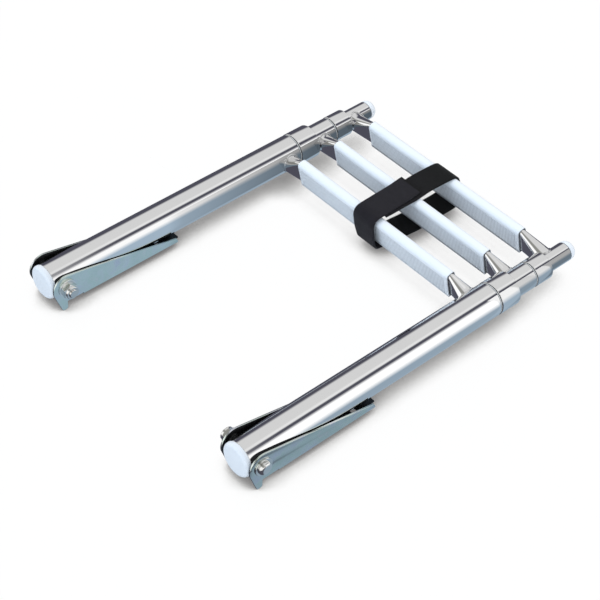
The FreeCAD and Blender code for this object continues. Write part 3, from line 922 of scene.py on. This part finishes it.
    def build_tread(self) -> None:
        """The plastic sleeve over the blade, with crossing cuts on its standing face.

        The outline is carried along X; on the face it sinks by the deeper of the lengthwise cuts and
        the cross cuts. At each end it rounds in, and the end face narrows to the slot for the blade.
        """
        outline, cut = self.tread_profile()
        end = self.tread_half_length
        count = int(2 * (end - self.plain_end) / self.rib_pitch)
        stations, walls = self.cuts(-count * self.rib_pitch / 2, count)
        across = np.concatenate([[-end + self.tread_end_round], stations, [end - self.tread_end_round]])
        cross = np.concatenate([[0.0], walls, [0.0]])
        on_face = np.zeros(len(outline))
        on_face[1:len(self.rib_walls) * self.rib_rows - 1] = 1.0
        deep = np.maximum(cut[None], cross[:, None] * on_face * self.cross_share)
        deep[[0, -1]] = 0.0
        low = self.blade_rise - self.tread_half_height
        # painted shade: a dark line along the bottom of the standing face
        near_foot = outline[:, 1] < low + self.foot_height
        foot = self.seam * (near_foot & (outline[:, 0] < self.foot_depth - self.tread_half_thickness))
        # the cut depth in the marks also paints the cut floors greyer, as painted shade
        marks = np.stack(np.broadcast_arrays(deep, foot, 0.0), -1)
        thick = outline[None, :, 0] + deep * self.rib_depth
        high = np.broadcast_to(outline[None, :, 1], thick.shape)
        body = self.leaned(thick, high, across[:, None])
        slot_t = self.blade_half_thickness + self.slot_gap
        slot_h = self.blade_half_height + self.slot_gap
        slot = np.stack([np.clip(outline[:, 0], -slot_t, slot_t),
                         np.clip(outline[:, 1], self.blade_rise - slot_h, self.blade_rise + slot_h)], -1)
        rows, shades = [body], [marks]
        turn = np.radians(self.end_turns)[:, None, None]
        inset = self.tread_end_round * (1 - np.cos(turn))
        shape = outline[None] + inset * unit(slot - outline)[None]
        # painted shade: the end faces are painted darker towards the slot
        shade = seam_marks(np.array(self.end_shades)[:, None] + 0 * foot)
        for sign in (1, -1):
            at = sign * (end - self.tread_end_round + self.tread_end_round * np.sin(turn[:, :, 0]))
            edge = self.leaned(shape[..., 0], shape[..., 1], at)
            face = self.leaned(slot[None, :, 0], slot[None, :, 1], np.array([[sign * end]]))
            cap = np.concatenate([edge, face])
            rows.append(cap[::sign])
            shades.append(shade[::sign])
        skin = Patch(np.concatenate(rows), loop_rows=True, marks=np.concatenate(shades))
        mesh = surface(self.name("tread"), [skin], 34.0)
        piece(self.name("tread_piece"), mesh, self.group, WHITE, self.name("tread"))


@dataclass
class Bracket(SidePart):
    """One formed sheet bracket with its pivot bolt, lock nut and washers."""

    edge: float = 0.35
    bolt_radius: float = 5.0
    head_dome: float = 3.6
    washer_gap: float = 0.25
    washer_rim: float = 0.4
    thread_pitch: float = 1.5
    thread_depth: float = 0.28
    thread_sink: float = 0.3
    thread_run: Point2 = (0.6, 15.0)
    nut_flats: float = 16.0
    nut_depths: tuple[float, ...] = (0, 0, 0.35, 0.8, 1.4, 5.1, 5.7, 6.15, 6.5, 6.5, 7.0, 9.1, 9.5, 9.5)
    nut_radii: tuple[float, ...] = (5.1, 8.1, 8.7, 9.0, 12, 12, 9.0, 8.7, 8.2, 7.6, 7.5, 7.5, 7.1, 5.1)

    def build(self) -> None:
        """Makes the sheet and the pivot's pieces."""
        self.build_sheet()
        self.build_bolt()
        self.build_nut()
        for place in ("outer_washer", "inner_washer"):
            seat = self.seat(place, Axis.X)
            mesh = seat.sleeve(self.name(place), self.bolt_radius + self.washer_gap, self.washer_rim)
            self.dress(place, mesh, Group.BRACKETS, FASTENER)

    def build_sheet(self) -> None:
        """The bracket's own solid with its doubles merged and its cut edges softened."""
        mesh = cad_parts[self.name("bracket")].data.copy()
        mesh.name = self.name("bracket_sheet")
        work = bmesh.new()
        work.from_mesh(mesh)
        bmesh.ops.remove_doubles(work, verts=work.verts, dist=1e-6)
        bmesh.ops.dissolve_limit(work, angle_limit=math.radians(0.4), verts=work.verts, edges=work.edges)
        work.to_mesh(mesh)
        work.free()
        mesh.polygons.foreach_set("use_smooth", np.ones(len(mesh.polygons), bool))
        made = piece(self.name("bracket_piece"), mesh, Group.BRACKETS, SHEET, self.name("bracket"))
        bevel = made.modifiers.new("soft_edges", "BEVEL")
        bevel.width = self.edge * MM
        bevel.segments = 2
        bevel.limit_method = "ANGLE"
        bevel.angle_limit = math.radians(40)
        bevel.harden_normals = True

    @staticmethod
    def outward(seat: Seat) -> tuple[float, float]:
        """A seat's near and far end, as seen from the ladder's middle."""
        return tuple(sorted((seat.start, seat.end), key=abs))

    def build_bolt(self) -> None:
        """A domed head on a shank whose last part is threaded.

        The thread's radius follows a triangle wave of the station plus the turn's share of a pitch.
        """
        seat = self.seat("pivot_bolt", Axis.X)
        tip, head = self.outward(seat)
        way = 1 if head > tip else -1
        seat_x = self.outward(self.seat("outer_washer", Axis.X))[1]
        corners = [(0, head), (seat.radius, head), (seat.radius, seat_x), (self.bolt_radius, seat_x),
                   (self.bolt_radius, tip), (0, tip)]
        profile = rounded(corners, [0, self.head_dome, 0.4, 0, 0.8, 0], 10)
        core = lathe(profile, Axis.X, seat.centre, closed=False)
        turn = circle(96)
        station = np.linspace(*self.thread_run, 130)[:, None]
        phase = station / self.thread_pitch + self.side.value * turn / TURN
        ridge = 2 * np.abs(phase - np.floor(phase) - 0.5)
        radius = self.bolt_radius - self.thread_sink + self.thread_depth * ridge
        grid = around(Axis.X, seat.centre, tip + way * station, radius, turn)
        mesh = surface(self.name("pivot_bolt"), [core, Patch(grid)])
        piece(self.name("pivot_bolt_piece"), mesh, Group.BRACKETS, FASTENER, self.name("pivot_bolt"))

    def build_nut(self) -> None:
        """A lock nut: a hexagon chamfered by a cone, a round collar and a nylon ring.

        The hexagon's radius is half its flats over the cosine of the angle from the nearest flat, and
        the chamfer takes the smaller of that and the cone's radius.
        """
        seat = self.seat("pivot_nut", Axis.X)
        near, far = self.outward(seat)
        way = 1 if far > near else -1
        turn = circle(144)
        from_flat = np.mod(turn, math.pi / 3) - math.pi / 6
        hexagon = self.nut_flats / 2 / np.cos(from_flat)
        depth = np.array(self.nut_depths)[:, None]
        radius = np.minimum(hexagon, np.array(self.nut_radii)[:, None])
        grid = around(Axis.X, seat.centre, far - way * depth, radius, turn)
        mesh = surface(self.name("pivot_nut"), [Patch(grid, loop_rows=True)], 28.0)
        piece(self.name("pivot_nut_piece"), mesh, Group.BRACKETS, FASTENER, self.name("pivot_nut"))


@dataclass
class Strap:
    """The webbing band round the treads: once round, with its free end laid on top."""

    width: float = 32.0
    thickness: float = 2.3
    corner: float = 0.9
    route: Sequence[tuple[float, float, float]] = (
        (98.0, 51.1, -4.0), (115.0, 51.1, -3.6), (150.0, 51.15, -3.6), (163.0, 51.2, -4.0),
        (180.0, 51.2, -4.0), (195.0, 51.1, -3.2), (202.5, 50.2, -2.9), (207.0, 46.8, -2.8),
        (209.3, 40.0, -2.4), (211.3, 32.0, -1.4), (213.0, 23.0, 0.2), (212.8, 16.5, 1.4),
        (208.5, 13.0, 2.1), (200.0, 12.35, 2.5), (185.0, 12.3, 3.0), (165.0, 12.3, 3.5),
        (144.0, 12.3, 3.6), (128.0, 12.2, 1.9), (112.0, 12.0, 0.4), (101.0, 11.5, -0.4),
        (93.5, 11.2, -1.3), (88.4, 11.2, -1.7), (85.2, 13.4, -1.6), (83.2, 17.0, -1.6),
        (81.9, 22.5, -1.9), (80.8, 29.0, -2.6), (80.3, 37.0, -3.4), (80.0, 44.0, -4.1),
        (81.5, 49.5, -4.6), (85.5, 52.7, -4.9), (92.0, 53.6, -5.1), (105.0, 53.5, -5.6),
        (120.0, 53.45, -6.2), (136.0, 53.45, -6.8), (154.0, 53.4, -7.8))
    # painted light: from here on the band's near climb and top layer are painted lighter
    furry_from: float = 245.0
    furry_run: float = 25.0
    # the band is also painted lighter towards its start
    frayed: float = 0.6
    frayed_to: float = 95.0
    sways: Sequence[tuple[float, float, float]] = ((0.3, 17.0, 0.0), (0.15, 6.3, 1.0))
    bend_at: float = 272.0
    bend_run: float = 16.0
    pinch: float = 0.12

    def build(self) -> None:
        """Carries a rounded flat section along a smooth line through the route's (y, z, x) points."""
        line = self.smooth(np.array(self.route))
        run = unit(np.gradient(line[:, :2], axis=0))
        normal = np.stack([-run[:, 1], run[:, 0]], -1)
        half, thin = self.width / 2, self.thickness / 2
        section = rounded([(-half, -thin), (half, -thin), (half, thin), (-half, thin)], [self.corner] * 4, 5)
        section = self.filled(section)
        steps = np.linalg.norm(np.diff(line[:, :2], axis=0), axis=1)
        along = np.concatenate([[0.0], np.cumsum(steps)])
        sway = sum(size * np.sin(along / run_length + phase) for size, run_length, phase in self.sways)
        narrow = 1 - self.pinch * np.exp(-((along - self.bend_at) / self.bend_run) ** 2)
        x = line[:, 2:3] + section[None, :, 0] * narrow[:, None] + sway[:, None]
        lift = section[None, :, 1] + 0 * x
        grid = np.stack([x, line[:, :1] + normal[:, :1] * lift, line[:, 1:2] + normal[:, 1:2] * lift], -1)
        lighter_share = np.clip((along - self.furry_from) / self.furry_run, 0, 1)
        lighter_share += self.frayed * np.clip(1 - along / self.frayed_to, 0, 1)
        # painted shade: the last rows get no lightening, so the band's end reads as a dark line
        lighter_share[-3:] = 0.0
        marks = np.stack(np.broadcast_arrays(along[:, None] * MM, section[None, :, 0] * MM, lighter_share[:, None]), -1)
        shares = np.array([0.0, 0.97])[:, None, None]
        first, last = grid[0].mean(0), grid[-1].mean(0)
        head = first + (grid[0] - first) * shares
        tail = last + (grid[-1] - last) * shares[::-1]
        order = [0, 0, *range(len(grid)), -1, -1]
        mesh = surface("strap", [Patch(np.concatenate([head, grid, tail]), marks=marks[order])], 50.0)
        piece("strap_piece", mesh, Group.MIDDLE, WEBBING, "strap")
        LOG.info("strap band is %.0f mm long", along[-1])

    def filled(self, section: Array) -> Array:
        """The section with points along its two wide sides."""
        gaps = np.linalg.norm(np.roll(section, -1, 0) - section, axis=1)
        parts = [np.linspace(a, b, 14 if gap > 5 else 2)[:-1] for a, b, gap in
                 zip(section, np.roll(section, -1, 0), gaps)]
        return np.concatenate(parts)

    def smooth(self, points: Array, spacing: float = 1.0) -> Array:
        """A line through points, each span a cubic of its four nearest (Catmull and Rom's weights)."""
        ends = np.concatenate([2 * points[:1] - points[1:2], points, 2 * points[-1:] - points[-2:-1]])
        t = np.linspace(0, 1, 24, endpoint=False)[:, None]
        a, b, c, d = ends[:-3, None], ends[1:-2, None], ends[2:-1, None], ends[3:, None]
        bend, twist = 2 * a - 5 * b + 4 * c - d, 3 * b - a - 3 * c + d
        spans = 0.5 * (2 * b + (c - a) * t + bend * t**2 + twist * t**3)
        dense = np.concatenate([spans.reshape(-1, 3), points[-1:]])
        length = np.concatenate([[0], np.cumsum(np.linalg.norm(np.diff(dense, axis=0), axis=1))])
        even = np.arange(0, length[-1], spacing)
        return np.stack([np.interp(even, length, dense[:, i]) for i in range(3)], -1)


@dataclass(frozen=True)
class Card:
    """An upright card beside a leg that only the polished metal mirrors.

    It has one tone for each height, and the share of it fades along the leg.
    """

    name: str
    x: float
    tones: Sequence[Stop]
    fade: Sequence[Point2]

    def patch(self) -> Patch:
        """The card's grid, with the tone times the share as its marks."""
        heights, colours = (np.array(part) for part in zip(*self.tones))
        rows, shares = (np.array(part) for part in zip(*self.fade))
        y, z = np.meshgrid(rows, heights, indexing="ij")
        glow = colours[None, :, :] * shares[:, None, None]
        return Patch(np.stack([np.full(y.shape, self.x), y, z], -1), loop_cols=False, marks=glow)


WHITE_BOX, PALE, GREY = (1.3, 1.3, 1.3), (0.97, 0.97, 0.97), (0.8, 0.8, 0.8)
SLATE, STONE, DARK = (0.35, 0.45, 0.55), (0.32, 0.32, 0.30), (0.09, 0.09, 0.12)
CARDS = (
    Card("left_card", -125.0, ((-40.0, SLATE), (35.0, SLATE), (46.0, PALE), (56.0, PALE)),
         ((-340.0, 1.25), (-75.0, 1.25), (-55.0, 1.0), (71.0, 0.55), (136.0, 0.34), (270.0, 0.28))),
    Card("right_card", 190.0, ((-40.0, SLATE), (30.0, SLATE), (44.0, PALE), (74.0, PALE)),
         ((117.0, 1.15), (150.0, 1.15), (155.0, 0.8), (180.0, 0.8), (183.0, 0.95), (205.0, 0.95),
          (209.0, 0.5), (270.0, 0.5))),
)


@dataclass
class Studio:
    """Floor, lights, world and camera."""

    focal_px: float = 1725.778
    image_px: float = 600.0
    azimuth: float = 0.821155017
    elevation: float = 0.773264173
    roll: float = 0.0422315117
    position: tuple[float, float, float] = (0.971674, -0.917592, 1.281798)
    sky: float = 1.0
    sun: float = 0.7
    sky_colours: Sequence[Stop] = (
        (0.0, (1.05, 1.25, 1.5)), (0.25, (0.98, 1.1, 1.22)), (0.5, (0.84, 0.86, 0.90)),
        (1.0, (0.78, 0.78, 0.80)))
    paper: tuple[Colour, Colour] = ((0.96, 0.955, 0.95), (0.98, 0.975, 0.97))
    paper_glow: float = 0.96
    shade_reach: float = 0.038
    shade_side: tuple[float, float, float] = (-0.10, -0.28, 0.95)
    shade_stops: Sequence[Stop] = (
        (0.26, (0.17, 0.165, 0.165)), (0.46, (0.40, 0.395, 0.39)), (0.57, (0.78, 0.775, 0.765)),
        (0.66, (1.0, 1.0, 1.0)))
    leg_panels: Sequence[Panel] = (
        (-180, -160, SLATE), (-130, -65, DARK), (-50, 5, GREY), (13, 20, PALE), (27, 38, DARK),
        (52, 88, WHITE_BOX), (118, 180, SLATE))
    front_panels: Sequence[Panel] = (
        (-180, -80, DARK), (-30, 8, GREY), (20, 46, STONE), (56, 98, WHITE_BOX), (112, 180, DARK))
    front_from: float = 0.30
    front_blend: float = 6.0
    floor_half: float = 9.0
    lamp_spread: float = 34.0
    lamp_colour: Colour = (1.0, 0.985, 0.96)
    lamp_way: tuple[float, float, float] = (0.5, -0.2, -0.84)

    def build(self) -> None:
        """Makes the whole set."""
        self.build_camera()
        self.build_floor()
        self.build_world()
        self.build_sun()
        for card in CARDS:
            self.build_card(card)
        bpy.context.scene.view_settings.view_transform = "Standard"

    def build_camera(self) -> None:
        """The camera at the place and angles fitted to the photograph."""
        data = bpy.data.cameras.new("camera")
        data.sensor_width = 36.0
        data.lens = self.focal_px * data.sensor_width / self.image_px
        data.clip_start, data.clip_end = 0.01, 100.0
        camera = linked("camera", data)
        az, el, roll = self.azimuth, self.elevation, self.roll
        look = Vector((-math.sin(az) * math.cos(el), math.cos(az) * math.cos(el), -math.sin(el)))
        right = Vector((math.cos(az), math.sin(az), 0.0))
        up = right.cross(look)
        x_axis = right * math.cos(roll) + up * math.sin(roll)
        y_axis = up * math.cos(roll) - right * math.sin(roll)
        turned = Matrix((x_axis, y_axis, -look)).transposed().to_4x4()
        camera.matrix_world = Matrix.Translation(self.position) @ turned
        bpy.context.scene.camera = camera

    def build_floor(self) -> None:
        """A large pale floor that keeps the ladder's shadow.

        The camera sees it glowing nearly white, with a painted shadow that is darker where something close
        above it shuts the light off.
        """
        side = np.linspace(-self.floor_half, self.floor_half, 3) / MM
        x, y = np.meshgrid(side, side)
        mesh = surface("floor", [Patch(np.stack([x, y, 0 * x], -1), loop_cols=False)])
        floor = linked("floor", mesh)
        material, graph = new_material("floor_paper")
        fibre = graph.noise(graph.place(), 300.0, 2.0)
        diffuse = graph.out("ShaderNodeBsdfDiffuse", None, {"Color": graph.mixed(fibre, *self.paper)})
        open_sky = graph.out("ShaderNodeAmbientOcclusion", {"samples": 12},
                             {"Distance": self.shade_reach, "Normal": self.shade_side}, "AO")
        # painted shadow: the occlusion ramp gives the colour of the floor's glow for the camera
        shade = graph.ramp(open_sky, self.shade_stops)
        rays = graph.out("ShaderNodeLightPath", output="Is Camera Ray")
        graph.show(graph.choice(rays * self.paper_glow, diffuse, graph.glow(shade)))
        mesh.materials.append(material)
        floor.visible_glossy = False

    def build_world(self) -> None:
        """Soft white light, and long light and dark panels for the metal to mirror.

        Along the legs the panels follow the turn about Y; towards the front they follow the turn about X.
        """
        world = bpy.data.worlds.new("studio")
        world.use_nodes = True
        bpy.context.scene.world = world
        graph = Graph(world.node_tree)
        x, y, z = graph.parts(graph.out("ShaderNodeTexCoord", output="Generated"))
        round_y = x.turn_from(z) / TURN + 0.5
        round_x = (0.0 - y).turn_from(z) / TURN + 0.5
        beside = ((self.front_from - y) * self.front_blend).limited()
        panels = graph.mixed(beside, graph.ramp(round_y, self.stops(self.leg_panels)),
                             graph.ramp(round_x, self.stops(self.front_panels)))
        front = graph.ramp(y * 0.5 + 0.5, self.sky_colours)
        rays = graph.node("ShaderNodeLightPath")
        glossy = Term(graph, rays.outputs["Is Glossy Ray"])
        seen = Term(graph, rays.outputs["Is Camera Ray"])
        soft, mirror, white = (
            graph.out("ShaderNodeBackground", None, {"Color": colour, "Strength": strength})
            for colour, strength in ((front, self.sky), (panels, 1.0), ((1.0, 1.0, 1.0), 1.0)))
        graph.show(graph.choice(seen, graph.choice(glossy, soft, mirror), white), "ShaderNodeOutputWorld")

    @staticmethod
    def stops(panels: Sequence[Panel]) -> list[Stop]:
        """A ramp's stops: each panel is even between its turns and blends into the next."""
        return [((turn + 180) / 360, colour) for first, last, colour in panels for turn in (first, last)]

    def build_card(self, card: Card) -> None:
        """Stages a card that shines only towards -X."""
        mesh = surface(card.name, [card.patch()])
        if mesh.polygons[0].normal.x > 0:
            mesh.flip_normals()
        made = linked(card.name, mesh)
        material, graph = new_material(card.name)
        clear = graph.out("ShaderNodeBsdfTransparent")
        back = graph.out("ShaderNodeNewGeometry", output="Backfacing")
        graph.show(graph.choice(back, graph.glow(graph.marks()), clear))
        mesh.materials.append(material)
        made.visible_camera = made.visible_diffuse = made.visible_shadow = made.visible_transmission = False

    def build_sun(self) -> None:
        """A wide soft lamp from behind on the left, for the shadow towards the right."""
        data = bpy.data.lights.new("window", "SUN")
        data.energy = self.sun
        data.angle = math.radians(self.lamp_spread)
        data.color = self.lamp_colour
        lamp = linked("window", data)
        lamp.rotation_euler = Vector(self.lamp_way).to_track_quat("-Z", "Y").to_euler()
        lamp.visible_glossy = False


def corners(box: tuple[Vector, Vector]) -> list[list[float]]:
    """A box's two corners as plain lists."""
    return [list(box[0]), list(box[1])]


def main() -> None:
    """Builds the ladder and its set in order."""
    logging.basicConfig(level=logging.INFO, format="%(name)s: %(message)s")
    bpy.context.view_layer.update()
    Studio().build()
    for side in Side:
        Bracket(side).build()
        Leg(side).build()
    # step 1's painted shade line along its bottom edge is fainter
    Step(1, Group.UPPER, "outer_tube", seam=0.25).build()
    Step(2, Group.MIDDLE, "middle_tube").build()
    Step(3, Group.LOWER, "inner_tube").build()
    Strap().build()


if __name__ == "__main__":
    main()
